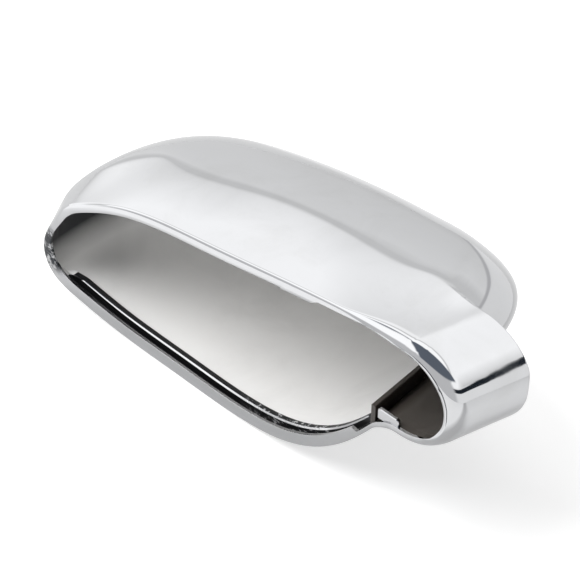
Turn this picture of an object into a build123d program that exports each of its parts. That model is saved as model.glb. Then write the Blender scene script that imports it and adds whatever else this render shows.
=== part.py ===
"""Wing mirror cover: one thin plated moulding, a deep bowl with a sliced-off facet and a stub arm.

While the form is built the mouth lies in the plane y = 0, with x along the cover towards the arm,
y from the mouth to the back of the bowl and z up. The finished shell is then moved so that the
origin is the bottom centre of its box. All sizes are in millimetres.
"""
import os
from math import hypot, radians, sin

from build123d import *

# Wall and roundings
wall = 3.0
rim_round = 2.0
saddle_round = 8.0
arm_back_round = 3.5

# Bowl: its reach, the middle it shrinks towards, and how square its sides, top and floor are
bowl_depth = 96.0
bowl_centre_x = 114.0
bowl_centre_z = 49.0
side_power = 3.0
top_power = 2.5
floor_power = 8.0
section_angles = (0, 7, 24, 46, 66, 81, 88)

# Bowl outline: place along, place up, and how far the point is tucked in at the mouth
bowl_floor_points = (
    (-2.0, 18.0, 0.0),
    (3.0, 5.0, 0.0),
    (18.5, -0.5, 0.0),
    (42.0, -3.7, 0.0),
    (86.0, -5.0, 0.0),
    (126.0, -4.6, 0.0),
    (150.0, 0.4, 0.0),
    (166.0, 8.6, 0.0),
    (185.0, 26.0, 0.0),
    (202.5, 50.5, 0.0),
    (223.0, 79.0, 0.0),
    (235.0, 99.0, 0.0),
)
bowl_shoulder_points = (
    (213.0, 109.0, 0.0),
    (165.0, 106.5, 0.0),
    (110.0, 98.0, 0.0),
    (54.0, 83.3, 0.0),
    (31.5, 74.8, 1.5),
)
bowl_tip_points = (
    (15.0, 64.0, 7.0),
    (0.5, 41.0, 7.0),
)
bowl_outline = bowl_floor_points + bowl_shoulder_points + bowl_tip_points

# Facet: the start runs up out of the way of the tip, the edge lies at the mouth
facet_start = ((5.0, 38.0, 1.3), (20.0, 56.5, 0.7))
facet_edge = ((33.0, 67.4), (55.0, 79.1), (110.0, 92.1), (164.0, 102.2), (200.0, 107.6))
crease_depth = 36.3
facet_front = -10.0
facet_reach = 60.0
trim_allowance = 0.05

# Stub arm: half-round end, its axis at the mouth and how far that axis drifts per unit of depth
arm_radius = 27.1
arm_wall = 4.2
arm_axis_x = 214.4
arm_axis_z = 81.3
arm_drift_x = 0.29
arm_drift_z = -0.06
arm_root_length = 34.4
arm_headroom = 48.7
arm_root_x = arm_axis_x - arm_root_length
saddle_z = arm_axis_z - arm_radius

# Lip round the mouth, taller below than above, with its ends before the arm and below the saddle
lip_height = 3.2
lip_lift = 1.3
lip_depth = 1.5
lip_end_before_root = 6.0
lip_end_below_saddle = 14.0
lip_end_x = arm_root_x - lip_end_before_root
lip_end_z = saddle_z - lip_end_below_saddle

# Retaining rib behind the lip, along the floor and up to the saddle
rib_gap = 3.3
rib_thickness = 3.1
rib_start_x = 21.0
rib_end_below_saddle = 1.2
rib_top_z = saddle_z - rib_end_below_saddle

# Channel rib between bowl and arm, with its foot in the wall under the saddle
channel_rib_before_axis = 14.4
channel_rib_thickness = 2.2
channel_rib_rise = 6.3
channel_rib_root = 14.0
channel_rib_x = arm_axis_x - channel_rib_before_axis

# Clip tab on the saddle
tab_before_axis = 5.9
tab_x = arm_axis_x - tab_before_axis
tab_length = 11.0
tab_thickness = 1.6
tab_setback = 0.6
tab_height = 3.6
tab_corner = 1.5

# Larger than the cover, for cutting blocks
far = 400.0


def ring(points, share, inset):
    """Outline points of the bowl at a share of its reach, moved inwards by the inset."""
    moved = []
    for x, z, tuck in points:
        power = top_power if z > bowl_centre_z else floor_power
        along = (x - bowl_centre_x) * (1 - share**side_power) ** (1 / side_power)
        up = (z - bowl_centre_z) * (1 - share**power) ** (1 / power)
        along = along * (1 - inset / bowl_centre_x)
        up = up * (1 - inset / bowl_centre_z)
        if share == 0:
            along = along + tuck
        moved.append((bowl_centre_x + along, (bowl_depth - inset) * share, bowl_centre_z + up))
    return moved


def bowl(inset):
    """Closed bowl, lofted through outlines that shrink towards a point at the back."""
    steps = [0.0]
    for (x, z, tuck), (next_x, next_z, next_tuck) in zip(bowl_outline, bowl_outline[1:] + bowl_outline[:1]):
        steps.append(steps[-1] + hypot(next_x - x, next_z - z))
    sections = []
    for angle in section_angles:
        points = ring(bowl_outline, sin(radians(angle)), inset)
        sections.append(Face(Wire([Edge.make_spline(points, periodic=True, parameters=steps)])))
    sections.append(Vertex(bowl_centre_x, bowl_depth - inset, bowl_centre_z))
    return loft(sections)


def arm_axis(depth):
    """Middle of the arm's round end at a depth."""
    return arm_axis_x + arm_drift_x * depth, arm_axis_z + arm_drift_z * depth


def arm_reach(inset):
    """Radius of the arm's round end, whose wall is thicker than the bowl's."""
    return arm_radius - inset * arm_wall / wall


def over_facet(inset):
    """Everything above the facet and outside the top quarter of the arm's round end."""
    crease = ring(reversed(bowl_shoulder_points), crease_depth / bowl_depth, 0)
    radius = arm_reach(inset)
    half = radius * sin(radians(45))
    walls = []
    for depth in (facet_front, facet_reach):
        points = []
        for x, z, rise in facet_start:
            points.append((x, depth, z + rise * depth - inset))
        for (x, z), (back_x, back_y, back_z) in zip(facet_edge, crease):
            share = depth / back_y
            points.append((x + (back_x - x) * share, depth, z + (back_z - z) * share - inset))
        x, z = arm_axis(depth)
        crest = (x, depth, z + radius)
        tip = (x + radius, depth, z)
        facet = Spline(*points, crest, tangents=((0.6, 0, 1), (1, 0, 0)))
        end = ThreePointArc(crest, (x + half, depth, z + half), tip)
        outside = Polyline(tip, (far, depth, z), (far, depth, far), (points[0][0], depth, far), points[0])
        walls.append(Face(Wire([facet, end] + outside.edges())))
    return loft(walls, ruled=True)


def arm(inset):
    """Stub arm with a flat floor and a half-round end, trimmed just above the facet."""
    radius = arm_reach(inset)
    half = radius * sin(radians(45))
    ends = []
    for depth in (0.0, crease_depth - inset):
        x, z = arm_axis(depth)
        heel = (x, depth, z - radius)
        tip = (x + radius, depth, z)
        top = (x + radius, depth, arm_axis_z + arm_headroom)
        root_top = (arm_root_x, depth, arm_axis_z + arm_headroom)
        root = (arm_root_x, depth, z - radius)
        end = ThreePointArc(heel, (x + half, depth, z - half), tip)
        rest = Polyline(tip, top, root_top, root, heel)
        ends.append(Face(Wire([end] + rest.edges())))
    return loft(ends, ruled=True) - over_facet(inset - trim_allowance)


def joined(bowl_solid, arm_solid, inset):
    """Bowl and arm made one, and sliced off at the facet."""
    return bowl_solid + arm_solid - over_facet(inset)


def body(inset):
    """Whole form, moved inwards by the inset, with its edges left sharp."""
    return joined(bowl(inset), arm(inset), inset)


def slab(front, back):
    """Block that spans the whole cover between two depths."""
    return Pos(0, (front + back) / 2, 0) * Box(2 * far, back - front, 2 * far)


# Outer form: the arm's back edge is rounded first, then the saddle under the arm, then the rim
arm_solid = arm(0)
back_edges = arm_solid.edges().filter_by_position(Axis.Y, crease_depth - 0.01, crease_depth + 0.01)
back_edges = back_edges.filter_by_position(Axis.X, arm_root_x + 1, far)
outer = joined(bowl(0), fillet(back_edges, arm_back_round), 0)
saddle_edges = outer.edges().filter_by_position(Axis.Z, saddle_z - 3, saddle_z + 1)
saddle_edges = saddle_edges.filter_by_position(Axis.X, arm_root_x, arm_axis_x - 2)
saddle_edge = saddle_edges.sort_by(SortBy.LENGTH)[-1]
outer = fillet(saddle_edge, saddle_round)
outer = fillet(outer.edges().filter_by_position(Axis.Y, -0.01, 0.01), rim_round)

# Hollow: the mouth is narrower than the space behind it, which leaves the lip
inner = body(wall)
mouth = Pos(0, 0, lip_lift) * body(wall + lip_height)
arm_zone = Pos(lip_end_x + far / 2, 0, lip_end_z + far / 2) * Box(far, 2 * far, far)
behind_lip = inner & (slab(lip_depth, far) + arm_zone)
hollow = behind_lip + (mouth & slab(-far, 2 * lip_depth))

# Retaining rib: a thin wall left standing behind the lip, as tall as the lip
rib_front = lip_depth + rib_gap
rib_zone = Pos(rib_start_x + far / 2, 0, rib_top_z - far / 2) * Box(far, 2 * far, far)
rib = (slab(rib_front, rib_front + rib_thickness) & rib_zone) - mouth

# Channel rib: parts the bowl from the arm's floor
channel_length = crease_depth - lip_depth
channel_foot = saddle_z - channel_rib_root
channel_top = saddle_z + channel_rib_rise
channel_rib = Box(channel_rib_thickness, channel_length, channel_top - channel_foot)
channel_rib = Pos(channel_rib_x, lip_depth + channel_length / 2, (channel_foot + channel_top) / 2) * channel_rib

# Clip tab: stands on the arm's floor at the saddle
tab_foot = saddle_z + arm_wall / 2
tab_top = saddle_z + arm_wall + tab_height
tab = Box(tab_length, tab_thickness, tab_top - tab_foot)
tab_edges = tab.edges().filter_by(Axis.Y).group_by(Axis.Z)[-1]
tab = Pos(tab_x, tab_setback + tab_thickness / 2, (tab_foot + tab_top) / 2) * fillet(tab_edges, tab_corner)

# The shell is what is left round the hollow, with its box set over the origin
shell = outer - (hollow - rib - channel_rib - tab)
box = shell.bounding_box()
shell = Pos(-(box.min.X + box.max.X) / 2, -(box.min.Y + box.max.Y) / 2, -box.min.Z) * shell
print("shell", round(shell.volume), "mm3,", len(shell.solids()), "solid,", shell.bounding_box())

os.makedirs("parts", exist_ok=True)
export_step(shell, "parts/mirror_cover_shell.step")
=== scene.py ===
# %% [markdown]
# # A chromed wing mirror cover
# The cover is one thin moulding: a deep bowl, sliced off on top by a long facet, with a half-round
# stub arm at its right end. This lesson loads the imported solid, lays a smooth visual skin in the same
# place, plates it with chrome, and photographs it on a white table.

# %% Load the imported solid
from math import radians

import bpy
import numpy as np
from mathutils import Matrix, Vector


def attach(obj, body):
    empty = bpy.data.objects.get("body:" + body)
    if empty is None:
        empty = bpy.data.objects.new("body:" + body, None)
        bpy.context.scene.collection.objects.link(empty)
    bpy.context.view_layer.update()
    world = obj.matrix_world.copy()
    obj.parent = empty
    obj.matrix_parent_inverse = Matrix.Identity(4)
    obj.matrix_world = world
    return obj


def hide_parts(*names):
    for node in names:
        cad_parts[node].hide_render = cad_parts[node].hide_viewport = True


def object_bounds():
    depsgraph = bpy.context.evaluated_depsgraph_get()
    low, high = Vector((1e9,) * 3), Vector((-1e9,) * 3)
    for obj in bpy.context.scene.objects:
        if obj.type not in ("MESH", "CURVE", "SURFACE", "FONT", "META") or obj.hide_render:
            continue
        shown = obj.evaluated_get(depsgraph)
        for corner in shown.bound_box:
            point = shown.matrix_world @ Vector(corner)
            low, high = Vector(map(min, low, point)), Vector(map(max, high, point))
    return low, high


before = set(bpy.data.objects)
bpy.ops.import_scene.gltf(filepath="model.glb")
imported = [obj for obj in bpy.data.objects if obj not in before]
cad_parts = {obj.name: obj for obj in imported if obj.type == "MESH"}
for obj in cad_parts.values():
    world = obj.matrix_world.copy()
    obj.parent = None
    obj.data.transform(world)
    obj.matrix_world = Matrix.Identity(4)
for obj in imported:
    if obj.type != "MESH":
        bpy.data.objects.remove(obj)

cad_box = [list(corner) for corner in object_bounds()]
print("the solid's box, mm:", [[round(1000 * v, 2) for v in corner] for corner in cad_box])

# %% [markdown]
# ## Why a new skin
# Chrome is a mirror, so every small ripple of a mesh shows. The solid's own triangles are long and thin,
# and its rim has one rounding all the way round, while on the real cover the rounding grows round the arm.
# A skin worked out by formula has even faces, clean reflections and a rounding that can change from place
# to place. It is a grid: lines run from the mouth over the outside to the back of the bowl, and the same
# lines come back along the inside.
#
# The sizes below are in millimetres, with the mouth in the plane y = 0. They are the solid's own, but for
# the facet's start and one more point each on the shoulder and on the facet's edge, which let facet and
# bowl meet in one clean line.

# %% Sizes of the cover
WALL = 3.0
BOWL_DEPTH = 96.0
BOWL_X, BOWL_Z = 114.0, 49.0
SIDE_POWER, TOP_POWER, FLOOR_POWER = 3.0, 2.5, 8.0
# Bowl outline: place along, place up, and how far the point is tucked in at the mouth
BOWL_OUTLINE = np.array([
    (-2.0, 18.0, 0.0), (3.0, 5.0, 0.0), (18.5, -0.5, 0.0), (42.0, -3.7, 0.0), (86.0, -5.0, 0.0),
    (126.0, -4.6, 0.0), (150.0, 0.4, 0.0), (166.0, 8.6, 0.0), (185.0, 26.0, 0.0), (202.5, 50.5, 0.0),
    (223.0, 79.0, 0.0), (235.0, 99.0, 0.0), (213.0, 109.0, 0.0), (190.0, 108.7, 0.0), (165.0, 106.5, 0.0),
    (110.0, 98.0, 0.0), (54.0, 83.3, 0.0), (31.5, 74.8, 1.5), (15.0, 64.0, 7.0), (0.5, 41.0, 7.0),
])
SHOULDER = slice(12, 18)
# Facet start: place along, place up, and rise per unit of depth
FACET_START = np.array([(5.0, 46.0, 0.30), (20.0, 58.5, 0.27)])
# Facet edge at the mouth: place along and place up
FACET_EDGE = np.array([
    (33.0, 67.4), (55.0, 79.1), (110.0, 92.1), (164.0, 102.2), (183.0, 105.4), (200.0, 107.6),
])
CREASE_DEPTH = 36.3
ARM_RADIUS, ARM_WALL = 27.1, 4.2
ARM_X, ARM_Z, ARM_ROOT_X = 214.4, 81.3, 180.0
ARM_DRIFT_X, ARM_DRIFT_Z = 0.29, -0.06
print("outline points:", len(BOWL_OUTLINE))

# %% [markdown]
# ## A smooth line through a few points
# The outline and the facet are both drawn as smooth lines through a handful of points. A cubic spline does
# this: each span is a cubic, and the spans meet with the same slope and bend. A closed line wraps round,
# and an open one is given its slope at both ends.

# %% Spline helpers
def spline_slopes(t, p, closed, ends=None):
    """Slopes at the points of a cubic spline through p at the places t."""
    n = len(p)
    system = np.zeros((n, n))
    right = np.zeros_like(p)
    h = np.diff(t)
    for i in range(n):
        if not closed and i in (0, n - 1):
            system[i, i] = 1
            right[i] = ends[0] if i == 0 else ends[1]
            continue
        before, after = h[(i - 1) % len(h)], h[i % len(h)]
        last, following = p[(i - 1) % n], p[(i + 1) % n]
        system[i, (i - 1) % n] += after
        system[i, i] += 2 * (before + after)
        system[i, (i + 1) % n] += before
        right[i] = 3 * (after * (p[i] - last) / before + before * (following - p[i]) / after)
    return np.linalg.solve(system, right)


def spline_at(t, p, slopes, where):
    """Points of that spline at the places where."""
    i = np.clip(np.searchsorted(t, where, side="right") - 1, 0, len(t) - 2)
    h = (t[i + 1] - t[i])[:, None]
    u = (where - t[i])[:, None] / h
    p0, p1 = p[i % len(p)], p[(i + 1) % len(p)]
    m0, m1 = slopes[i % len(p)], slopes[(i + 1) % len(p)]
    return ((2 * u**3 - 3 * u**2 + 1) * p0 + (u**3 - 2 * u**2 + u) * h * m0
            + (3 * u**2 - 2 * u**3) * p1 + (u**3 - u**2) * h * m1)


around = np.vstack([BOWL_OUTLINE, BOWL_OUTLINE[:1]])
outline_t = np.concatenate([[0.0], np.cumsum(np.hypot(*np.diff(around[:, :2], axis=0).T))])
outline_slopes = spline_slopes(outline_t, BOWL_OUTLINE, True)
outline = spline_at(outline_t, BOWL_OUTLINE, outline_slopes, np.linspace(0, outline_t[-1], 4001)[:-1])
print("outline runs from", outline.min(0).round(1), "to", outline.max(0).round(1))

# %% [markdown]
# ## The bowl as a question
# Instead of drawing the bowl's surface at once, the next cells answer a question: how far is a point from
# the surface, with a minus sign inside? With such an answer for each form, a union, a cut and a rounding
# are one line each. The bowl's sections shrink towards the back, so a point is first blown up to the size
# of the mouth and then compared with the outline, which is kept as a reach for each direction. At the tip
# the mouth is tucked in, and the tuck fades out within the first fifth of the depth.

# %% Distance to the bowl
EVERY_ANGLE = np.linspace(-np.pi, np.pi, 1441)
TUCK_FADE = 0.21


def reach_table(x, z):
    """Reach of a closed line from the middle of the bowl, for every angle."""
    angle = np.arctan2(z - BOWL_Z, x - BOWL_X)
    order = np.argsort(angle)
    reach = np.hypot(x - BOWL_X, z - BOWL_Z)
    return np.interp(EVERY_ANGLE, angle[order], reach[order], period=2 * np.pi)


open_reach = reach_table(outline[:, 0], outline[:, 1])
tucked_reach = reach_table(outline[:, 0] + outline[:, 2], outline[:, 1])


def to_bowl(x, y, z, inset):
    """Distance to the bowl, moved inwards by the inset."""
    share = np.clip(y / (BOWL_DEPTH - inset), 0, 0.999999)
    side = (1 - share**SIDE_POWER) ** (1 / SIDE_POWER)
    power = np.where(z > BOWL_Z, TOP_POWER, FLOOR_POWER)
    up = (1 - share**power) ** (1 / power)
    wide = (x - BOWL_X) / (side * (1 - inset / BOWL_X))
    tall = (z - BOWL_Z) / (up * (1 - inset / BOWL_Z))
    angle = np.arctan2(tall, wide)
    tuck = np.clip(1 - share / TUCK_FADE, 0, 1) ** 2
    reach = np.interp(angle, EVERY_ANGLE, open_reach)
    reach = reach + tuck * (np.interp(angle, EVERY_ANGLE, tucked_reach) - reach)
    return np.maximum((np.hypot(wide, tall) - reach) * np.sqrt(side * up), y - (BOWL_DEPTH - inset))


print("middle of the bowl is", round(float(to_bowl(BOWL_X, 40.0, BOWL_Z, 0.0)), 1), "mm deep")

# %% [markdown]
# ## The facet's profile
# The facet is a ruled surface: straight lines run from its edge at the mouth to the crease on the bowl, so
# at any depth its profile is a spline through points part of the way along those lines. It starts beside
# the tip and ends level, at the crest of the arm's round end. The axis of that end drifts with the depth.

# %% Profile of the facet
START_SLOPE, CREST_SLOPE = (0.75, 0.66), (1.0, 0.0)


def arm_axis(y):
    """Middle of the arm's round end at a depth."""
    return ARM_X + ARM_DRIFT_X * y, ARM_Z + ARM_DRIFT_Z * y


def arm_reach(inset):
    """Radius of the arm's round end, whose wall is thicker than the bowl's."""
    return ARM_RADIUS - inset * ARM_WALL / WALL


def facet_line(y, inset):
    """The facet's profile at a depth, from its start beside the tip to the crest of the arm."""
    share = CREASE_DEPTH / BOWL_DEPTH
    shoulder = BOWL_OUTLINE[SHOULDER][::-1]
    back_x = BOWL_X + (shoulder[:, 0] - BOWL_X) * (1 - share**SIDE_POWER) ** (1 / SIDE_POWER)
    back_z = BOWL_Z + (shoulder[:, 1] - BOWL_Z) * (1 - share**TOP_POWER) ** (1 / TOP_POWER)
    along = y / CREASE_DEPTH
    x = FACET_EDGE[:, 0] + (back_x - FACET_EDGE[:, 0]) * along
    z = FACET_EDGE[:, 1] + (back_z - FACET_EDGE[:, 1]) * along
    start = np.column_stack([FACET_START[:, 0], FACET_START[:, 1] + FACET_START[:, 2] * y])
    axis_x, axis_z = arm_axis(y)
    points = np.vstack([start, np.column_stack([x, z]), [(axis_x, axis_z + arm_reach(inset) + inset)]])
    t = np.concatenate([[0.0], np.cumsum(np.hypot(*np.diff(points, axis=0).T))])
    slopes = spline_slopes(t, points, False, (START_SLOPE, CREST_SLOPE))
    return spline_at(t, points, slopes, np.linspace(0, t[-1], 600)) - (0, inset)


print("facet height over the middle of the mouth:", round(float(facet_line(0.0, 0.0)[300, 1]), 1), "mm")

# %% [markdown]
# ## Distance to the facet
# The facet's height is kept in a table over x and y, because it is asked for many thousand times. A crown
# of a fraction of a millimetre is added between the edge and the crease, since a flat mirror looks dead. It
# fades out towards the arm, where the facet becomes the top quarter of the round end.

# %% Distance to the facet
TABLE_X = np.linspace(-20, 280, 601)
TABLE_Y = np.linspace(-5, 100, 106)
CROWN, CROWN_FADE = 0.6, 60
NO_FACET = 200.0
facet_tables = {}


def facet_table(inset):
    """Height of the facet over x (across) and y (down the table)."""
    rows = []
    for y in TABLE_Y:
        line = facet_line(y, inset)
        axis_x, axis_z = arm_axis(y)
        height = np.interp(TABLE_X, line[:, 0], line[:, 1])
        height[TABLE_X < line[0, 0]] = NO_FACET
        height[TABLE_X > axis_x] = axis_z + arm_reach(inset)
        rows.append(height)
    return np.array(rows)


def to_facet(x, y, z, inset):
    """Distance above the facet and outside the arm's top quarter."""
    if inset not in facet_tables:
        facet_tables[inset] = facet_table(inset)
    table = facet_tables[inset]
    col = np.clip((x - TABLE_X[0]) / (TABLE_X[1] - TABLE_X[0]), 0, len(TABLE_X) - 1.001)
    row = np.clip((y - TABLE_Y[0]) / (TABLE_Y[1] - TABLE_Y[0]), 0, len(TABLE_Y) - 1.001)
    i, j = row.astype(int), col.astype(int)
    v, u = row - i, col - j
    height = ((table[i, j] * (1 - u) + table[i, j + 1] * u) * (1 - v)
              + (table[i + 1, j] * (1 - u) + table[i + 1, j + 1] * u) * v)
    axis_x, axis_z = arm_axis(y)
    crown = CROWN * np.clip((axis_x - x) / CROWN_FADE, 0, 1) ** 2
    height = height + 4 * crown * (y / CREASE_DEPTH) * (1 - y / CREASE_DEPTH)
    round_end = np.hypot(x - axis_x, np.maximum(z - axis_z, 0)) - arm_reach(inset)
    round_end = np.where(z > axis_z, round_end, x - axis_x - arm_reach(inset))
    return np.where(x > axis_x, round_end, 0.95 * (z - height))


print("facet table:", len(TABLE_Y), "rows of", len(TABLE_X), "heights")

# %% [markdown]
# ## Distance to the arm
# The arm is a floor and the lower half of a round end. High up its root moves to the right, because a
# straight root would leave a small ledge where it crosses the crease. The soft step used for that is needed
# again wherever a size changes from place to place.

# %% Distance to the arm
ROOT_SHIFT, ROOT_LOW, ROOT_HIGH = 24, 86, 100


def ease(low, high, value):
    """Soft step from 0 at the low end to 1 at the high end."""
    u = np.clip((value - low) / (high - low), 0, 1)
    return u * u * (3 - 2 * u)


def to_arm(x, y, z, inset):
    """Distance to the arm's floor and half-round end, without its back."""
    axis_x, axis_z = arm_axis(y)
    root_x = ARM_ROOT_X + ROOT_SHIFT * ease(ROOT_LOW, ROOT_HIGH, z)
    floor = np.maximum(axis_z - arm_reach(inset) - z, root_x - x)
    end = np.hypot(x - axis_x, np.minimum(z - axis_z, 0)) - arm_reach(inset)
    end = np.where(z > axis_z, x - axis_x - arm_reach(inset), end)
    return np.where(x < axis_x, floor, end)


print("the arm's tip is at x", round(ARM_X + ARM_DRIFT_X * CREASE_DEPTH + ARM_RADIUS, 1), "mm")

# %% [markdown]
# ## Joining with roundings
# Two distances are joined or cut with a round fillet by measuring the corner with a circle. The fillet in
# the saddle under the arm is large and fades upwards. The crease is almost sharp, but softer at the left
# end, where the facet runs out beside the tip. The rim is rounded more round the arm than along the bowl.

# %% Distance to the whole cover
ARM_BACK_ROUND = 3.5
SADDLE_ROUND, ROOT_ROUND = 8.0, 1.5
CREASE_ROUND, CREASE_LEFT = 0.45, 2.65
RIM_ROUND, RIM_AT_ARM = 1.5, 7.0


def joined(a, b, r):
    """Two forms made one, with a fillet of radius r between them."""
    return np.maximum(r, np.minimum(a, b)) - np.hypot(np.maximum(r - a, 0), np.maximum(r - b, 0))


def trimmed(a, b, r):
    """What two forms share, with its edge rounded by r."""
    return np.minimum(-r, np.maximum(a, b)) + np.hypot(np.maximum(r + a, 0), np.maximum(r + b, 0))


def to_cover(x, y, z, inset):
    """Distance to the cover's outer form, or to its hollow when the inset is the wall."""
    arm = trimmed(to_arm(x, y, z, inset), y - (CREASE_DEPTH - inset), ARM_BACK_ROUND)
    saddle = ROOT_ROUND + (SADDLE_ROUND - ROOT_ROUND) * ease(76, 60, z)
    form = joined(to_bowl(x, y, z, inset), arm, saddle)
    crease = CREASE_ROUND + (CREASE_LEFT - CREASE_ROUND) * ease(46, 24, x) * ease(7, 20, x)
    return trimmed(form, to_facet(x, y, z, inset), crease)


def to_outside(x, y, z):
    """Distance to the outer form with its rim rounded."""
    rim = RIM_ROUND + (RIM_AT_ARM - RIM_ROUND) * ease(180, 212, x) * ease(52, 72, z)
    return trimmed(to_cover(x, y, z, 0.0), -y, rim)


print("roundings, mm: saddle", SADDLE_ROUND, "crease", CREASE_ROUND, "rim", RIM_ROUND, "to", RIM_AT_ARM)

# %% [markdown]
# ## Looking out from the middle
# From one place inside the cover, every bit of its outside can be seen along a straight line. So each line
# of the grid is found by looking out in many directions and halving the distance until the surface is met.

# %% Rays from the middle
EYE = EYE_X, EYE_Y, EYE_Z = 114.0, 20.0, 60.0


def meet(distance, start, direction, far=300.0):
    """Length along each ray to the surface where the distance turns from minus to plus."""
    low = np.zeros(direction[0].shape)
    high = np.full(direction[0].shape, far)
    for _ in range(34):
        mid = (low + high) / 2
        inside = distance(*(s + mid * d for s, d in zip(start, direction))) < 0
        low = np.where(inside, mid, low)
        high = np.where(inside, high, mid)
    return (low + high) / 2


def across(angles, y, inset, lift=0.0):
    """Reach from the middle line at one depth, in each direction round it."""
    flat = (np.cos(angles), np.zeros_like(angles), np.sin(angles))
    here = (EYE_X, np.full_like(angles, y), EYE_Z)
    return meet(lambda px, py, pz: to_cover(px, py, pz - lift, inset), here, flat)


dense = np.linspace(-np.pi, np.pi, 3001)
reach = across(dense, 5.0, 0.0)
print("reach from the middle:", round(reach.min(), 1), "to", round(reach.max(), 1), "mm")

# %% [markdown]
# ## Sharing out the grid lines
# Places where the outline turns get more lines than places where it is straight, which keeps the tip and
# the arm smooth with few faces. Lip and rib begin and end at certain angles, and a few close lines on both
# sides of each of these make a crisp end.

# %% Directions of the grid lines
def spread(points, bend):
    """Places along each line of points, shared out by length and by bend, in mm for one radian."""
    step = np.diff(points, axis=-2)
    length = np.linalg.norm(step, axis=-1)
    unit = step / np.maximum(length, 1e-9)[..., None]
    turn = np.arccos(np.clip((unit[..., 1:, :] * unit[..., :-1, :]).sum(-1), -1, 1))
    turn = np.concatenate([turn[..., :1] * 0, turn], axis=-1)
    smooth = np.cumsum(np.pad(turn, [(0, 0)] * (turn.ndim - 1) + [(4, 3)], mode="edge"), axis=-1)
    turn = (smooth[..., 7:] - smooth[..., :-7]) / 7
    total = np.concatenate([turn[..., :1] * 0, np.cumsum(length + bend * turn, axis=-1)], axis=-1)
    return total / total[..., -1:]


LINES, LINE_BEND = 420, 40.0
SHARP = 0.0005
END_DEGREES = (-150.6, -4.6, -14.5, 35.6, 44.2)
RIB_START, RIB_END, LIP_END, LIP_START, PAD_END = (radians(v) for v in END_DEGREES)
rim_line = np.column_stack([reach * np.cos(dense), reach * np.sin(dense)])
close_by = [radians(v) + d for v in END_DEGREES for d in (-0.003, -SHARP, SHARP, 0.003)]
angles = np.interp(np.linspace(0, 1, LINES + 1)[:-1], spread(rim_line, LINE_BEND), dense)
angles = np.unique(np.concatenate([angles, close_by]))
print("grid lines round the mouth:", len(angles))

# %% [markdown]
# ## The hole in the mouth
# An inward lip narrows the mouth all round, but not in the arm. Beside the arm it has a slightly taller
# pad. The rib behind it runs along the floor only, and rises over a few millimetres at its left end. Each
# is a share of the full height, worked out for each grid line.

# %% Shares of lip and rib
LIP_HEIGHT, LIP_LIFT, LIP_DEPTH = 3.2, 1.3, 1.5
PAD_EXTRA, RIB_SLOPE, LEAST = 0.35, 0.06, 0.01


def between(first, last):
    """Share of 1 for the grid lines between two angles and 0 for the others."""
    return ease(first - SHARP, first + SHARP, angles) * ease(last + SHARP, last - SHARP, angles)


lip_share = 1 - between(LIP_END, LIP_START) + PAD_EXTRA * between(LIP_START, PAD_END)
lip_share = np.maximum(lip_share, LEAST)
rib_share = ease(RIB_START - RIB_SLOPE, RIB_START, angles) * ease(RIB_END + SHARP, RIB_END - SHARP, angles)
rib_share = np.maximum(rib_share, LEAST)
wall_reach = across(angles, 1.0, WALL)
lip_reach = across(angles, 1.0, WALL + LIP_HEIGHT, LIP_LIFT)
hole_reach = wall_reach + (lip_reach - wall_reach) * lip_share
print("lip along the grid lines:", round((wall_reach - hole_reach).max(), 1), "mm at most")

# %% [markdown]
# ## The outside, from the mouth to the back
# Each line starts on the flat of the rim, beside the hole, turns over the rounded rim, runs over the facet
# or the arm and ends at the back of the bowl. It is first followed in many small steps and then kept with
# fewer points, close together where it bends, so the rim and the crease stay crisp.

# %% Outer grid
SOFT = 0.3
OUTER_POINTS, OUTER_STEPS, OUTER_BEND = 118, 900, 34.0


def ring(reach, depth):
    """Points of all grid lines at a reach from the middle line and at a depth."""
    return np.stack([EYE_X + reach * np.cos(angles), depth + 0 * reach, EYE_Z + reach * np.sin(angles)], -1)


def fan(first, count, distance):
    """Points of each grid line, looking out from the eye between a first slope and straight back."""
    slope = first[:, None] + (np.pi / 2 - first)[:, None] * np.linspace(0, 1, count)
    turn = angles[:, None]
    direction = (np.cos(slope) * np.cos(turn), np.sin(slope), np.cos(slope) * np.sin(turn))
    length = meet(distance, EYE, direction)
    return np.stack([s + length * d for s, d in zip(EYE, direction)], -1)


def shared_out(points, count, bend):
    """The same lines with fewer points, close together where the line bends."""
    place = spread(points, bend)
    wanted = np.linspace(0, 1, count)
    lines = []
    for line, at in zip(points, place):
        lines.append(np.column_stack([np.interp(wanted, at, line[:, k]) for k in range(3)]))
    return np.array(lines)


outer_dense = fan(np.arctan2(-EYE_Y, wall_reach + SOFT), OUTER_STEPS, to_outside)
outer = shared_out(outer_dense, OUTER_POINTS - 1, OUTER_BEND)
outer = np.concatenate([ring(hole_reach + SOFT, 0.0)[:, None], outer], axis=1)
print("outer grid:", outer.shape[0], "lines of", outer.shape[1], "points")

# %% [markdown]
# ## Lip, groove and rib across each line
# Inside the mouth the line crosses the lip, a groove and the rib. These are short straight steps, so they
# are drawn point by point, as pairs of depth and height above the wall, with their edges eased by a
# fraction of a millimetre. The rib's front edge is a flat chamfer instead: it mirrors one bright part of
# the room along its whole length, which gives the white line seen on the real cover.

# %% Steps of lip and rib
RIB_GAP, RIB_THICKNESS, RIB_CHAMFER = 3.3, 3.1, 0.62
ROUNDED, FLAT = 0.3, 0.5
groove_back = LIP_DEPTH + RIB_GAP
rib_back = groove_back + RIB_THICKNESS


def step_points(height, front, back, ease_front, middle=ROUNDED):
    """A raised strip across the line: pairs of depth and height above the wall, with eased edges."""
    first, last = np.minimum(ease_front, height / 3), np.minimum(SOFT, height / 3)
    front, back = front + 0 * height, back + 0 * height
    return [(front, 0 * height), (front, height - first), (front + first * middle, height - first * middle),
            (front + first, height), (back - last, height), (back - last * ROUNDED, height - last * ROUNDED),
            (back, height - last), (back, 0 * height)]


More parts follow.
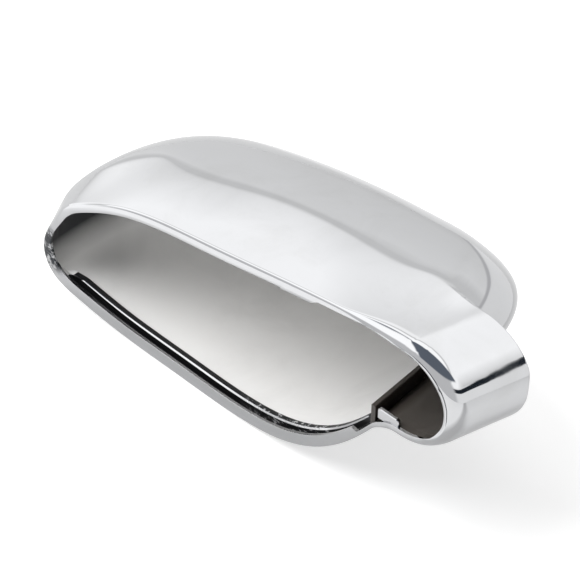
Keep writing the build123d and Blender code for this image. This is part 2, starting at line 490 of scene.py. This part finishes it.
lip = wall_reach - hole_reach
rib = (wall_reach - lip_reach) * rib_share
strips = step_points(lip, 0.0, LIP_DEPTH, SOFT)[2:]
strips += [(0 * lip + LIP_DEPTH + RIB_GAP * k, 0 * lip) for k in (0.1, 0.5, 0.9)]
strips += step_points(rib, groove_back, rib_back, RIB_CHAMFER, FLAT)
GROOVE_FIRST, GROOVE_LAST, RIB_TOP = 4, 10, 13
print("points across lip, groove and rib:", len(strips))

# %% [markdown]
# ## The inside
# The strips stand on the wall of the hollow, whose reach is worked out at four depths and read off between
# them. Behind the rib the line follows the hollow to the back, as it did outside.

# %% Inner grid
INNER_POINTS, INNER_STEPS, INNER_BEND, BEHIND_RIB = 56, 500, 30.0, 0.3
depths = np.array([0.0, LIP_DEPTH, groove_back, rib_back])
wall_table = np.array([across(angles, y, WALL) for y in depths])
lines = np.arange(len(angles))
inner_front = []
for depth, height in strips:
    at = np.interp(depth, depths, np.arange(4))
    low = np.clip(at.astype(int), 0, 2)
    wall_here = wall_table[low, lines] + (wall_table[low + 1, lines] - wall_table[low, lines]) * (at - low)
    inner_front.append(ring(wall_here - height, depth))
inner_front = np.stack(inner_front, 1)
behind = across(angles, rib_back + BEHIND_RIB, WALL)
first_slope = np.arctan2(rib_back + BEHIND_RIB - EYE_Y, behind)
inner_dense = fan(first_slope, INNER_STEPS, lambda x, y, z: to_cover(x, y, z, WALL))
inner_back = shared_out(inner_dense, INNER_POINTS, INNER_BEND)
print("inner grid:", inner_front.shape[1], "points over the lip and rib,", inner_back.shape[1], "behind")

# %% [markdown]
# ## The channel rib and the clip tab
# Two small pieces stand on the wall near the arm: a rib that parts the bowl from the arm's channel, and a
# tab on the saddle. Both are drawn as a row of closed loops joined by faces, with a cap at each end. The
# rib's foot follows the middle of the wall below it, so it has no gap under it and doesn't come through.

# %% Loops of the rib and the tab
CHANNEL_X, CHANNEL_THICKNESS, CHANNEL_TOP = 200.0, 2.2, 60.5
TAB_X, TAB_LENGTH, TAB_FOOT, TAB_TOP, TAB_CORNER = 208.5, 11.0, 56.3, 62.0, 1.5
TAB_FRONT, TAB_BACK, TAB_SOFT = 0.6, 2.2, 0.25


def wall_under(x, y):
    """Height of the middle of the wall below a place in the arm's channel."""
    down = (np.zeros_like(y), np.zeros_like(y), -np.ones_like(y))
    start = (np.full_like(y, x), y, np.full_like(y, CHANNEL_TOP))
    return CHANNEL_TOP - meet(lambda a, b, c: to_cover(a, b, c, WALL / 2), start, down, 30.0)


rib_y = np.linspace(LIP_DEPTH, CREASE_DEPTH - 1, 24)
half = CHANNEL_THICKNESS / 2
foot = {side: wall_under(CHANNEL_X + side * half, rib_y) for side in (-1, 1)}
rib_loops = []
for k, y in enumerate(rib_y):
    rib_loops.append([
        (CHANNEL_X - half, y, foot[-1][k]), (CHANNEL_X - half, y, CHANNEL_TOP - SOFT),
        (CHANNEL_X - half + SOFT, y, CHANNEL_TOP), (CHANNEL_X + half - SOFT, y, CHANNEL_TOP),
        (CHANNEL_X + half, y, CHANNEL_TOP - SOFT), (CHANNEL_X + half, y, foot[1][k]),
    ])
tab_loops = []
front_edge, back_edge = TAB_FRONT + TAB_SOFT, TAB_BACK - TAB_SOFT
for y, inset in ((TAB_FRONT, TAB_SOFT), (front_edge, 0.0), (back_edge, 0.0), (TAB_BACK, TAB_SOFT)):
    wide, radius = TAB_LENGTH / 2 - inset, TAB_CORNER - inset
    loop = [(TAB_X - wide, y, TAB_FOOT)]
    for side, turns in ((-1, np.linspace(np.pi, np.pi / 2, 6)), (1, np.linspace(np.pi / 2, 0, 6))):
        for turn in turns:
            centre_x = TAB_X + side * (TAB_LENGTH / 2 - TAB_CORNER)
            loop.append((centre_x + radius * np.cos(turn), y, TAB_TOP - TAB_CORNER + radius * np.sin(turn)))
    tab_loops.append(loop + [(TAB_X + wide, y, TAB_FOOT)])
print("rib foot from z", round(foot[-1].min(), 1), "to", round(foot[1].max(), 1), "mm")

# %% [markdown]
# ## One closed skin
# The outer and the inner lines of each direction are laid end to end, with a single point at the back of
# the bowl on each side. Faces join neighbouring lines, so the skin is closed, like the moulding itself.
# Each face notes its finish: bright outside, on the lip and on the rib's edges, satin inside, and a painted
# near-black shade in the groove and on top of the rib.

# %% Faces of the skin
# The third finish is a painted near-black shade for the groove and the top of the rib.
BRIGHT, SATIN, PAINTED_SHADE_FINISH = 0, 1, 2
columns = np.concatenate([outer[:, :-1], inner_back[:, -2::-1], inner_front[:, ::-1]], axis=1)
lines_count, points_count = columns.shape[:2]
point_rows = [columns.reshape(-1, 3), outer[:, -1].mean(0)[None], inner_back[:, -1].mean(0)[None]]
pole_out = lines_count * points_count
pole_in = pole_out + 1
outer_last = OUTER_POINTS - 2
strips_from = outer_last + INNER_POINTS
faces, finish = [], []
for i in range(lines_count):
    a, b = i * points_count, (i + 1) % lines_count * points_count
    has_rib = max(rib_share[i], rib_share[(i + 1) % lines_count]) > 0.5
    for k in range(points_count):
        if k == outer_last:
            faces.append((a + k, pole_out, b + k))
            faces.append((a + k + 1, b + k + 1, pole_in))
            finish += [BRIGHT, SATIN]
            continue
        n = (k + 1) % points_count
        faces.append((a + k, a + n, b + n, b + k))
        strip = len(strips) - 1 - (k - strips_from)
        if k < outer_last:
            finish.append(BRIGHT)
        elif k < strips_from or (strip > GROOVE_FIRST and not has_rib):
            finish.append(SATIN)
        else:
            # Groove and rib top get the painted shade finish.
            finish.append(PAINTED_SHADE_FINISH if GROOVE_FIRST < strip <= GROOVE_LAST or strip == RIB_TOP else BRIGHT)


def add_loops(loops, kind):
    """Faces over a row of loops, with a cap on both ends."""
    first, size = sum(len(row) for row in point_rows), len(loops[0])
    point_rows.append(np.array(loops).reshape(-1, 3))
    for row in range(len(loops) - 1):
        for k in range(size):
            a, b = first + row * size + k, first + row * size + (k + 1) % size
            faces.append((a, b, b + size, a + size))
            finish.append(kind)
    last = first + (len(loops) - 1) * size
    faces.append(tuple(range(first + size - 1, first - 1, -1)))
    faces.append(tuple(range(last, last + size)))
    finish.extend([kind, kind])


add_loops(rib_loops, SATIN)
add_loops(tab_loops, BRIGHT)
print("faces:", len(faces), "of which bare:", finish.count(PAINTED_SHADE_FINISH))

# %% [markdown]
# ## The mesh in the shared frame
# The points so far are in millimetres, with the mouth at y = 0. They are moved to the solid's place, turned
# into metres and kept inside the solid's box. Smooth shading lets the mirror flow over the faces, and edges
# that turn sharply are marked so that they stay crisp. The mesh then takes the solid's place in the scene.

# %% Make the mesh
MOULD_TO_PART = np.array([-124.353, cad_box[0][1] * 1000, 5.412])
SHARP_DEGREES = 38
placed = (np.vstack(point_rows) + MOULD_TO_PART) / 1000
low, high = np.array(cad_box[0]), np.array(cad_box[1])
shrink = np.minimum(1.0, np.minimum(low[:2] / placed.min(0)[:2], high[:2] / placed.max(0)[:2]))
placed[:, :2] *= shrink
placed[:, 2] = np.clip(placed[:, 2], low[2], high[2])
skin = bpy.data.meshes.new("mirror_cover_skin")
skin.from_pydata(placed, [], faces)
skin.validate()
skin.update()
cover = bpy.data.objects.new("mirror_cover", skin)
bpy.context.scene.collection.objects.link(cover)
skin.polygons.foreach_set("use_smooth", [True] * len(skin.polygons))
back_normals = sum(f.normal.y * f.area for f in skin.polygons if f.center.y > 0.04)
if back_normals < 0:
    skin.flip_normals()
skin.set_sharp_from_angle(angle=radians(SHARP_DEGREES))
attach(cover, "root")
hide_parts("mirror_cover_shell")
print("skin:", len(skin.vertices), "points,", len(skin.polygons), "faces, shrunk by", (1 - shrink).round(5))
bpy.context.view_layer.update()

# %% [markdown]
# ## What plating looks like up close
# Chrome on a moulding is never a perfect mirror. Handling leaves faint cloudy smears that blur the
# reflection a little, and the plastic below gives the plating a slight waviness. Both finishes of the cover
# show this, so the effect is one node group: it puts out a cloud mask and a height, and each material
# decides how strongly to use them.

# %% Node group for smears and waviness
def socket(tree, name, side, value=None):
    """A number that goes into a node group or comes out of it."""
    made = tree.interface.new_socket(name=name, in_out=side, socket_type="NodeSocketFloat")
    if value is not None:
        made.default_value = value


def add(tree, kind, **values):
    """A node with its settings, and its unlinked inputs by name or number."""
    node = tree.nodes.new(kind)
    for key, value in values.items():
        if key == "inputs":
            for name, number in value.items():
                node.inputs[name].default_value = number
        else:
            setattr(node, key, value)
    return node


def remap(tree, low, high, start, end, kind="LINEAR"):
    """A node that goes from start to end as its value goes from low to high."""
    values = {1: low, 2: high, 3: start, 4: end}
    return add(tree, "ShaderNodeMapRange", interpolation_type=kind, inputs=values)


def link(tree, pairs):
    for a, b in pairs:
        tree.links.new(a, b)


plating_marks = bpy.data.node_groups.new("plating marks", "ShaderNodeTree")
socket(plating_marks, "Cloud Scale", "INPUT", 40.0)
socket(plating_marks, "Wave Scale", "INPUT", 90.0)
socket(plating_marks, "Cloud", "OUTPUT")
socket(plating_marks, "Height", "OUTPUT")
into = add(plating_marks, "NodeGroupInput")
out = add(plating_marks, "NodeGroupOutput")
place = add(plating_marks, "ShaderNodeTexCoord")
cloud_look = {"Detail": 6.0, "Roughness": 0.62, "Distortion": 0.6}
cloud = add(plating_marks, "ShaderNodeTexNoise", inputs=cloud_look)
thin = remap(plating_marks, 0.42, 0.74, 0.0, 1.0, "SMOOTHSTEP")
wave = add(plating_marks, "ShaderNodeTexNoise", inputs={"Detail": 2.0, "Roughness": 0.5})
link(plating_marks, (
    (place.outputs["Object"], cloud.inputs["Vector"]), (into.outputs["Cloud Scale"], cloud.inputs["Scale"]),
    (cloud.outputs["Fac"], thin.inputs["Value"]), (thin.outputs["Result"], out.inputs["Cloud"]),
    (place.outputs["Object"], wave.inputs["Vector"]), (into.outputs["Wave Scale"], wave.inputs["Scale"]),
    (wave.outputs["Fac"], out.inputs["Height"]),
))
print("group:", plating_marks.name, "with", len(plating_marks.nodes), "nodes")

# %% [markdown]
# ## Masks by place
# Wear and painted shade sit at certain places on the cover, so the materials need masks that know where they
# are. One kind of mask is a soft ball round a place. The other kind is a block with soft faces: it goes from
# 0 to 1 along each axis between two places.

# %% Masks for the materials
def material(name):
    made = bpy.data.materials.new(name)
    made.use_nodes = True
    return made, made.node_tree, made.node_tree.nodes["Principled BSDF"]


def part_place(x, y, z):
    """A place of the mould, in millimetres, as a place in the scene, in metres."""
    return tuple((np.array([x, y, z]) + MOULD_TO_PART) / 1000)


def near(tree, centre, inner, outer):
    """Mask of 1 within the inner reach of a place and 0 beyond the outer reach, in metres."""
    where = add(tree, "ShaderNodeTexCoord")
    gap = add(tree, "ShaderNodeVectorMath", operation="DISTANCE")
    gap.inputs[1].default_value = centre
    fade = remap(tree, inner, outer, 1.0, 0.0, "SMOOTHSTEP")
    tree.links.new(where.outputs["Object"], gap.inputs[0])
    tree.links.new(gap.outputs["Value"], fade.inputs["Value"])
    return fade.outputs["Result"]


def steps(tree, start, end, names="XYZ"):
    """Mask that goes from 0 at the start to 1 at the end along each of the named axes, in metres."""
    where = add(tree, "ShaderNodeTexCoord")
    axes = add(tree, "ShaderNodeSeparateXYZ")
    tree.links.new(where.outputs["Object"], axes.inputs[0])
    mask = None
    for name in names:
        a, b = start["XYZ".index(name)], end["XYZ".index(name)]
        step = remap(tree, min(a, b), max(a, b), float(a > b), float(a < b))
        tree.links.new(axes.outputs[name], step.inputs["Value"])
        if mask is None:
            mask = step.outputs["Result"]
            continue
        both = add(tree, "ShaderNodeMath", operation="MULTIPLY")
        tree.links.new(mask, both.inputs[0])
        tree.links.new(step.outputs["Result"], both.inputs[1])
        mask = both.outputs[0]
    return mask


TIP_RIM, LOW_CORNER = part_place(4, 0, 22), part_place(150, 0, 4)
print("worn places, m:", [[round(float(v), 3) for v in p] for p in (TIP_RIM, LOW_CORNER)])

# %% [markdown]
# ## Bright chrome outside
# Chrome is a metal with a bluish grey colour and almost no roughness. The smears raise the roughness a
# touch. At the pointed tip and the lower right corner of the rim the plating ran thin, so a fine bump is
# faded in there, and on the front of the rim at the tip dark stains are mixed into the colour.

# %% Chrome material
chrome, tree, shader = material("bright chrome")
shader.inputs["Metallic"].default_value = 1.0
marks = add(tree, "ShaderNodeGroup", node_tree=plating_marks)
marks.inputs["Cloud Scale"].default_value = 34.0
marks.inputs["Wave Scale"].default_value = 55.0
tint = add(tree, "ShaderNodeMix", data_type="RGBA")
tint.inputs["A"].default_value = (0.555, 0.56, 0.572, 1)
tint.inputs["B"].default_value = (0.53, 0.534, 0.542, 1)
blur = remap(tree, 0.0, 1.0, 0.03, 0.065)
mottle = add(tree, "ShaderNodeTexNoise", inputs={"Scale": 900.0, "Detail": 3.0})
where = add(tree, "ShaderNodeTexCoord")
tip_mask = near(tree, TIP_RIM, 0.009, 0.017)
corner_mask = near(tree, LOW_CORNER, 0.012, 0.034)
both = add(tree, "ShaderNodeMath", operation="MAXIMUM")
fine = add(tree, "ShaderNodeMath", operation="MULTIPLY")
soft_bump = add(tree, "ShaderNodeBump", inputs={"Strength": 0.04, "Distance": 0.001})
fine_bump = add(tree, "ShaderNodeBump", inputs={"Strength": 0.28, "Distance": 0.0006})
rim_front = steps(tree, part_place(0, 3.0, 0), part_place(0, 1.2, 0), "Y")
patches = add(tree, "ShaderNodeTexNoise", inputs={"Scale": 260.0, "Detail": 4.0, "Roughness": 0.7})
worn = remap(tree, 0.40, 0.52, 0.0, 1.0, "SMOOTHSTEP")
on_rim = add(tree, "ShaderNodeMath", operation="MULTIPLY")
stained = add(tree, "ShaderNodeMath", operation="MULTIPLY")
stain = add(tree, "ShaderNodeMix", data_type="RGBA")
stain.inputs["B"].default_value = (0.05, 0.054, 0.06, 1)
link(tree, (
    (marks.outputs["Cloud"], tint.inputs["Factor"]), (tint.outputs["Result"], stain.inputs["A"]),
    (where.outputs["Object"], patches.inputs["Vector"]), (patches.outputs["Fac"], worn.inputs["Value"]),
    (tip_mask, on_rim.inputs[0]), (rim_front, on_rim.inputs[1]),
    (on_rim.outputs[0], stained.inputs[0]), (worn.outputs["Result"], stained.inputs[1]),
    (stained.outputs[0], stain.inputs["Factor"]), (stain.outputs["Result"], shader.inputs["Base Color"]),
    (marks.outputs["Cloud"], blur.inputs["Value"]), (blur.outputs["Result"], shader.inputs["Roughness"]),
    (where.outputs["Object"], mottle.inputs["Vector"]),
    (tip_mask, both.inputs[0]), (corner_mask, both.inputs[1]),
    (mottle.outputs["Fac"], fine.inputs[0]), (both.outputs[0], fine.inputs[1]),
    (marks.outputs["Height"], soft_bump.inputs["Height"]), (fine.outputs[0], fine_bump.inputs["Height"]),
    (soft_bump.outputs["Normal"], fine_bump.inputs["Normal"]),
    (fine_bump.outputs["Normal"], shader.inputs["Normal"]),
))
print("material:", chrome.name, "with", len(tree.nodes), "nodes")

# %% [markdown]
# ## Satin inside, with painted shade in the arm and in the tip
# Inside, the plating lies on an unpolished mould face, so it is a pale satin with a faint grain and broad
# gradients. The arm's channel gets a dark brown-grey painted shade, and the narrow end behind the tip a
# painted shade that is almost black. Both are told apart from the bowl by their place. The channel's edge
# is straight and lies under the channel rib, and the painted shade in the tip darkens slowly.

# %% Satin material
satin, tree, shader = material("satin plating")
shader.inputs["Metallic"].default_value = 0.2
marks = add(tree, "ShaderNodeGroup", node_tree=plating_marks)
marks.inputs["Cloud Scale"].default_value = 22.0
marks.inputs["Wave Scale"].default_value = 2600.0
tint = add(tree, "ShaderNodeMix", data_type="RGBA")
tint.inputs["A"].default_value = (0.88, 0.875, 0.865, 1)
tint.inputs["B"].default_value = (0.82, 0.815, 0.805, 1)
# Painted shade: the arm's channel is coloured dark brown-grey.
channel_shade_mask = steps(tree, part_place(198.5, 36.6, 47.0), part_place(198.9, 36.2, 49.0))
channel = add(tree, "ShaderNodeMix", data_type="RGBA")
channel.inputs["B"].default_value = (0.055, 0.048, 0.042, 1)
# Painted shade: the narrow end behind the tip is coloured almost black, fading in slowly.
tip_shade_mask = steps(tree, part_place(36.0, 60.0, 8.0), part_place(9.0, 40.0, 22.0))
tip_painted_shade = add(tree, "ShaderNodeMix", data_type="RGBA")
tip_painted_shade.inputs["B"].default_value = (0.02, 0.022, 0.025, 1)
blur = remap(tree, 0.0, 1.0, 0.36, 0.44)
grain = add(tree, "ShaderNodeBump", inputs={"Strength": 0.10, "Distance": 0.0004})
link(tree, (
    (marks.outputs["Cloud"], tint.inputs["Factor"]), (tint.outputs["Result"], channel.inputs["A"]),
    (channel_shade_mask, channel.inputs["Factor"]), (channel.outputs["Result"], tip_painted_shade.inputs["A"]),
    (tip_shade_mask, tip_painted_shade.inputs["Factor"]), (tip_painted_shade.outputs["Result"], shader.inputs["Base Color"]),
    (marks.outputs["Cloud"], blur.inputs["Value"]), (blur.outputs["Result"], shader.inputs["Roughness"]),
    (marks.outputs["Height"], grain.inputs["Height"]), (grain.outputs["Normal"], shader.inputs["Normal"]),
))
print("material:", satin.name, "with", len(tree.nodes), "nodes")

# %% [markdown]
# ## Painted shade in the groove
# The groove and the top of the rib get a near-black colour that stands for the shade falling there: painted
# shade. At the lower right corner a few silvery specks are mixed into it. The three materials are then
# handed to the faces.

# %% Painted shade material
# Painted shade: a near-black colour in the groove and on top of the rib, where shade falls.
painted_shade_material, tree, shader = material("groove painted shade")
shader.inputs["Roughness"].default_value = 0.45
specks = add(tree, "ShaderNodeTexNoise", inputs={"Scale": 520.0, "Detail": 3.0, "Roughness": 0.6})
where = add(tree, "ShaderNodeTexCoord")
sparse = remap(tree, 0.54, 0.64, 0.0, 1.0, "SMOOTHSTEP")
at_corner = near(tree, part_place(158, 5, 8), 0.018, 0.040)
both = add(tree, "ShaderNodeMath", operation="MULTIPLY")
# Lighter specks mixed into the painted shade at the lower right corner.
shade_with_specks = add(tree, "ShaderNodeMix", data_type="RGBA")
shade_with_specks.inputs["A"].default_value = (0.008, 0.008, 0.009, 1)
shade_with_specks.inputs["B"].default_value = (0.42, 0.42, 0.43, 1)
link(tree, (
    (where.outputs["Object"], specks.inputs["Vector"]), (specks.outputs["Fac"], sparse.inputs["Value"]),
    (sparse.outputs["Result"], both.inputs[0]), (at_corner, both.inputs[1]),
    (both.outputs[0], shade_with_specks.inputs["Factor"]), (shade_with_specks.outputs["Result"], shader.inputs["Base Color"]),
))
for kind in (chrome, satin, painted_shade_material):
    skin.materials.append(kind)
skin.polygons.foreach_set("material_index", finish)
print("materials:", [kind.name for kind in skin.materials])

# %% [markdown]
# ## The table
# A chrome part shows the room more than itself. This room has a round white table. Its far edge draws the
# fine curved line on the back of the bowl, so its radius matters, though the edge lies outside the picture.
# The camera sees the table white, with the part's soft shadow. Mirror rays see it brighter in two strips,
# in front of the part and beside it, as where light from a window falls on a table.

# %% White table
TABLE_RADIUS, TABLE_WHITE = 0.455, 0.58
bpy.ops.mesh.primitive_circle_add(vertices=128, radius=TABLE_RADIUS, fill_type="NGON", location=(0, 0, 0))
table = bpy.context.object
table.name = "table"
table_white, tree, shader = material("white table")
shader.inputs["Base Color"].default_value = (0.56, 0.56, 0.56, 1)
shader.inputs["Roughness"].default_value = 0.85
path = add(tree, "ShaderNodeLightPath")
where = add(tree, "ShaderNodeTexCoord")
axes = add(tree, "ShaderNodeSeparateXYZ")
tree.links.new(where.outputs["Object"], axes.inputs[0])


def calc(operation, a, b):
    """A sum, product or the like of two values, each a socket or a number."""
    node = add(tree, "ShaderNodeMath", operation=operation)
    for k, value in enumerate((a, b)):
        if isinstance(value, float):
            node.inputs[k].default_value = value
        else:
            tree.links.new(value, node.inputs[k])
    return node.outputs[0]


def zone(axis, low, high, start, end):
    """A straight change from start to end as the place on the table goes from low to high, in metres."""
    node = remap(tree, low, high, start, end)
    tree.links.new(axes.outputs[axis], node.inputs["Value"])
    return node.outputs["Result"]


side_glow = calc("ADD", zone("Y", -0.05, -0.01, 0.0, 0.38), zone("Y", 0.04, 0.10, 0.0, -0.25))
side_glow = calc("MULTIPLY", side_glow, zone("X", -0.17, -0.13, 0.0, 1.0))
glow = calc("ADD", side_glow, zone("Y", -0.105, -0.080, 0.55, 0.0))
mirrored = calc("MAXIMUM", path.outputs["Is Glossy Ray"], path.outputs["Is Transmission Ray"])
direct = calc("MULTIPLY", path.outputs["Is Camera Ray"], TABLE_WHITE)
seen = calc("MAXIMUM", direct, calc("MULTIPLY", mirrored, glow))
shader.inputs["Emission Color"].default_value = (1, 1, 1, 1)
tree.links.new(seen, shader.inputs["Emission Strength"])
table.data.materials.append(table_white)
print("table:", [round(v, 3) for v in table.dimensions[:2]], "m")

# %% [markdown]
# ## The room, by direction
# Mirror rays that miss the table end in the world, which gives a brightness for each direction. It is built
# from soft steps along a direction and from blends of two colours, so these come first, as short functions.

# %% Helpers for the room
world = bpy.data.worlds.new("studio")
bpy.context.scene.world = world
world.use_nodes = True
tree = world.node_tree
background = tree.nodes["Background"]
direction = add(tree, "ShaderNodeTexCoord")
parts = add(tree, "ShaderNodeSeparateXYZ")
tree.links.new(direction.outputs["Generated"], parts.inputs[0])
x, y, z = (parts.outputs[axis] for axis in "XYZ")


def band(value, low, high, start, end, kind="SMOOTHSTEP"):
    """A step from start to end as the value goes from low to high."""
    node = remap(tree, low, high, start, end, kind)
    tree.links.new(value, node.inputs["Value"])
    return node.outputs["Result"]


def blend(factor, a, b):
    """The first colour where the factor is 0 and the second where it is 1."""
    node = add(tree, "ShaderNodeMix", data_type="RGBA")
    tree.links.new(factor, node.inputs["Factor"])
    for name, value in (("A", a), ("B", b)):
        if isinstance(value, tuple):
            node.inputs[name].default_value = value
        else:
            tree.links.new(value, node.inputs[name])
    return node.outputs["Result"]


print("world:", world.name)

# %% [markdown]
# ## Brightness by height
# Upwards the room goes from a wall over a dim seam to a bright ceiling panel, then a gap and a lamp. These
# are stops of one colour ramp. Heights are measured along a tilted direction, because the panel leans
# towards the front. On the far left it hangs lower, so heights count for more there, and in the middle of
# the left side they count for a little less.

# %% Wall, seam, panel and lamp
ROOM = (
    # Wall, brighter upwards
    (-0.70, 0.78), (-0.58, 0.90), (-0.17, 1.07),
    # Dim seam between wall and ceiling
    (-0.07, 0.91), (0.02, 0.91),
    # Ceiling panel
    (0.10, 1.20), (0.28, 1.60), (0.50, 1.55),
    # Gap beside the panel, then the lamp
    (0.54, 1.00), (0.60, 1.00), (0.64, 1.75),
)
LOWEST, HIGHEST = ROOM[0][0], ROOM[-1][0]
tilt = add(tree, "ShaderNodeVectorMath", operation="DOT_PRODUCT")
tilt.inputs[1].default_value = (0.0, -0.55, 0.83)
tree.links.new(direction.outputs["Generated"], tilt.inputs[0])
height = calc("ADD", tilt.outputs["Value"], band(x, -1.0, -0.76, 0.48, 0.0, "LINEAR"))
less = calc("MULTIPLY", band(x, -0.70, -0.60, 0.0, 0.045), band(x, -0.40, -0.34, 1.0, 0.0))
height = calc("SUBTRACT", height, less)
ramp = add(tree, "ShaderNodeValToRGB")
stops = ramp.color_ramp.elements
for k, (at, bright) in enumerate(ROOM):
    place = (at - LOWEST) / (HIGHEST - LOWEST)
    stop = stops[0] if k == 0 else stops[-1] if k == len(ROOM) - 1 else stops.new(place)
    stop.position = place
    stop.color = (bright, bright, bright, 1)
tree.links.new(band(height, LOWEST, HIGHEST, 0.0, 1.0, "LINEAR"), ramp.inputs["Fac"])
room = ramp.outputs["Color"]
print("stops of the room:", len(stops))

# %% [markdown]
# ## Single places in the room
# Some things stand in one direction only. At the back two walls meet in a corner with a thin dark line. Low
# on the right the wall is bright, with a dark gap above the table that draws the black stripe round the
# arm. The front is dim, and the space above and behind the camera is dark, which draws the dark wedge on
# the arm's rim. Each is blended over the ramp by a mask of soft steps.

# %% Corner, gap and dark space
corner = calc("SUBTRACT", x, calc("MULTIPLY", z, 0.56))
deep = band(y, 0.55, 0.75, 0.0, 1.0)
room = blend(calc("MULTIPLY", band(corner, -0.32, -0.27, 0.0, 1.0), deep), room, (1.09, 1.09, 1.09, 1))
line = calc("MULTIPLY", band(corner, -0.35, -0.325, 0.0, 1.0), band(corner, -0.31, -0.29, 1.0, 0.0))
room = blend(calc("MULTIPLY", line, deep), room, (0.68, 0.68, 0.69, 1))
low_right = calc("MULTIPLY", band(x, 0.4, 0.7, 0.0, 1.0), band(z, 0.12, 0.20, 1.0, 0.0))
room = blend(low_right, room, (1.20, 1.20, 1.20, 1))
above = calc("SUBTRACT", z, band(y, 0.21, 0.26, 0.0, 0.15, "LINEAR"))
gap = calc("MULTIPLY", band(above, 0.125, 0.14, 1.0, 0.0), band(x, 0.35, 0.6, 0.0, 1.0))
gap = calc("MULTIPLY", gap, band(above, 0.0, 0.02, 0.0, 1.0))
room = blend(gap, room, (0.02, 0.026, 0.035, 1))
front = calc("MULTIPLY", band(y, -0.60, -0.40, 1.0, 0.0), band(z, 0.35, 0.50, 1.0, 0.0))
room = blend(front, room, (0.82, 0.82, 0.83, 1))
dark = calc("MULTIPLY", band(y, -0.16, -0.06, 1.0, 0.0), band(z, 0.33, 0.42, 0.0, 1.0))
dark = calc("MULTIPLY", dark, band(calc("ADD", x, calc("MULTIPLY", y, 0.5)), -0.60, -0.50, 0.0, 1.0))
room = blend(dark, room, (0.17, 0.195, 0.24, 1))
print("room:", len(tree.nodes), "nodes")

# %% [markdown]
# ## Which ray sees what
# Rays straight from the camera see plain white. Mirror rays see the room. All other rays, which light the
# dull surfaces, see an even grey, so the inside of the cover keeps its soft gradients.

# %% Room for each kind of ray
path = add(tree, "ShaderNodeLightPath")
mirror_ray = calc("MAXIMUM", path.outputs["Is Glossy Ray"], path.outputs["Is Transmission Ray"])
fill = blend(path.outputs["Is Camera Ray"], (0.36, 0.36, 0.36, 1), (1.0, 1.0, 1.0, 1))
tree.links.new(blend(mirror_ray, fill, room), background.inputs["Color"])
print("world:", len(tree.nodes), "nodes")

# %% [markdown]
# ## Two soft lights
# One large softbox hangs behind and to the left of the cover. It gives the table its faint shadow towards
# the lower right. The other one is larger and stronger. It hangs high in front on the left and shines down
# into the mouth, so the satin inside goes from pale at the lower rim to grey under the facet. Both are
# hidden from mirror rays, because the room already stands for them.

# %% Key and fill lights
def soft_light(name, place, aim, size, power):
    """A round area light at a place, turned to what it aims at."""
    lamp = bpy.data.lights.new(name, "AREA")
    lamp.shape = "DISK"
    lamp.size = size
    lamp.energy = power
    holder = bpy.data.objects.new(name, lamp)
    holder.location = place
    holder.rotation_euler = (Vector(aim) - holder.location).to_track_quat("-Z", "Y").to_euler()
    holder.visible_glossy = False
    bpy.context.scene.collection.objects.link(holder)
    print(name, power, "W")


soft_light("key softbox", (-0.45, 0.35, 0.95), (0.02, 0, 0), 0.7, 5.0)
soft_light("fill softbox", (-0.50, -0.50, 1.15), (0, 0, 0.03), 0.9, 21.0)

# %% [markdown]
# ## The camera
# The view was matched to the photo: from the front right, 45 degrees above the table, with a long lens.

# %% Camera
camera = bpy.data.objects.new("camera", bpy.data.cameras.new("camera"))
bpy.context.scene.collection.objects.link(camera)
camera.data.sensor_width = 36.0
camera.data.lens = 124.14
camera.location = part_place(540.06, -416.5, 664.15)
aim = Vector(part_place(91.47, 69.17, 3.0))
camera.rotation_euler = (aim - camera.location).to_track_quat("-Z", "Y").to_euler()
bpy.context.scene.camera = camera
bpy.context.scene.view_settings.view_transform = "Standard"
print("camera at", [round(v, 3) for v in camera.location])
